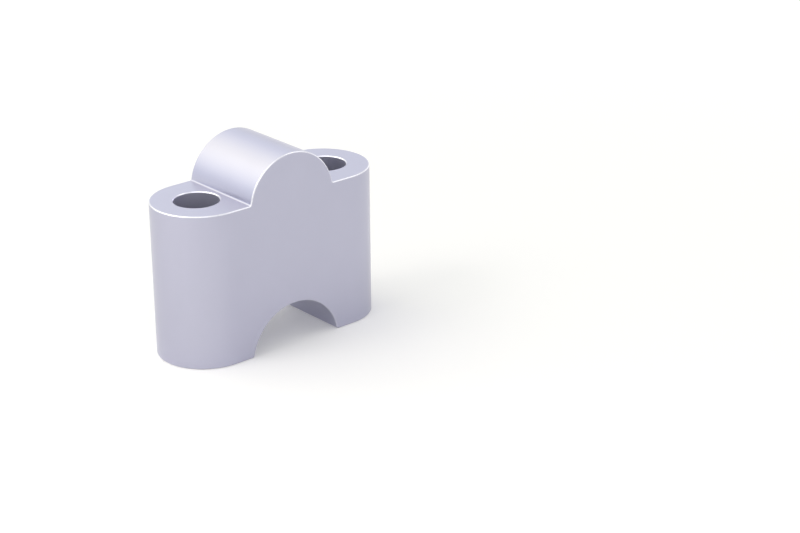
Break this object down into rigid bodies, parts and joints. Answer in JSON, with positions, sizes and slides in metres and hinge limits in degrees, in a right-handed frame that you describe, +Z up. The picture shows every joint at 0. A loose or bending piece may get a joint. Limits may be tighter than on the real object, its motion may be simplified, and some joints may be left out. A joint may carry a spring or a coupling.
{
  "type": "motorcycle bar riser",
  "caption": "Machined handlebar riser block with a half-round hump on top, a half-round saddle beneath and bolt holes down through its ears.",
  "frame": {"origin": "middle of the underside, at the level of the feet", "axes": "+X along the block's length, from one bolt hole to the other; +Y along the handlebar, from the front face to the back face; +Z up, from the feet to the hump"},
  "size_m": [0.054, 0.0216, 0.0438],
  "materials": {
    "anodised_aluminium": "clear satin anodised, slightly blue silver, with bright broken edges"
  },
  "bodies": {
    "root": {"riser_block": "anodised_aluminium"}
  },
  "joints": []
}
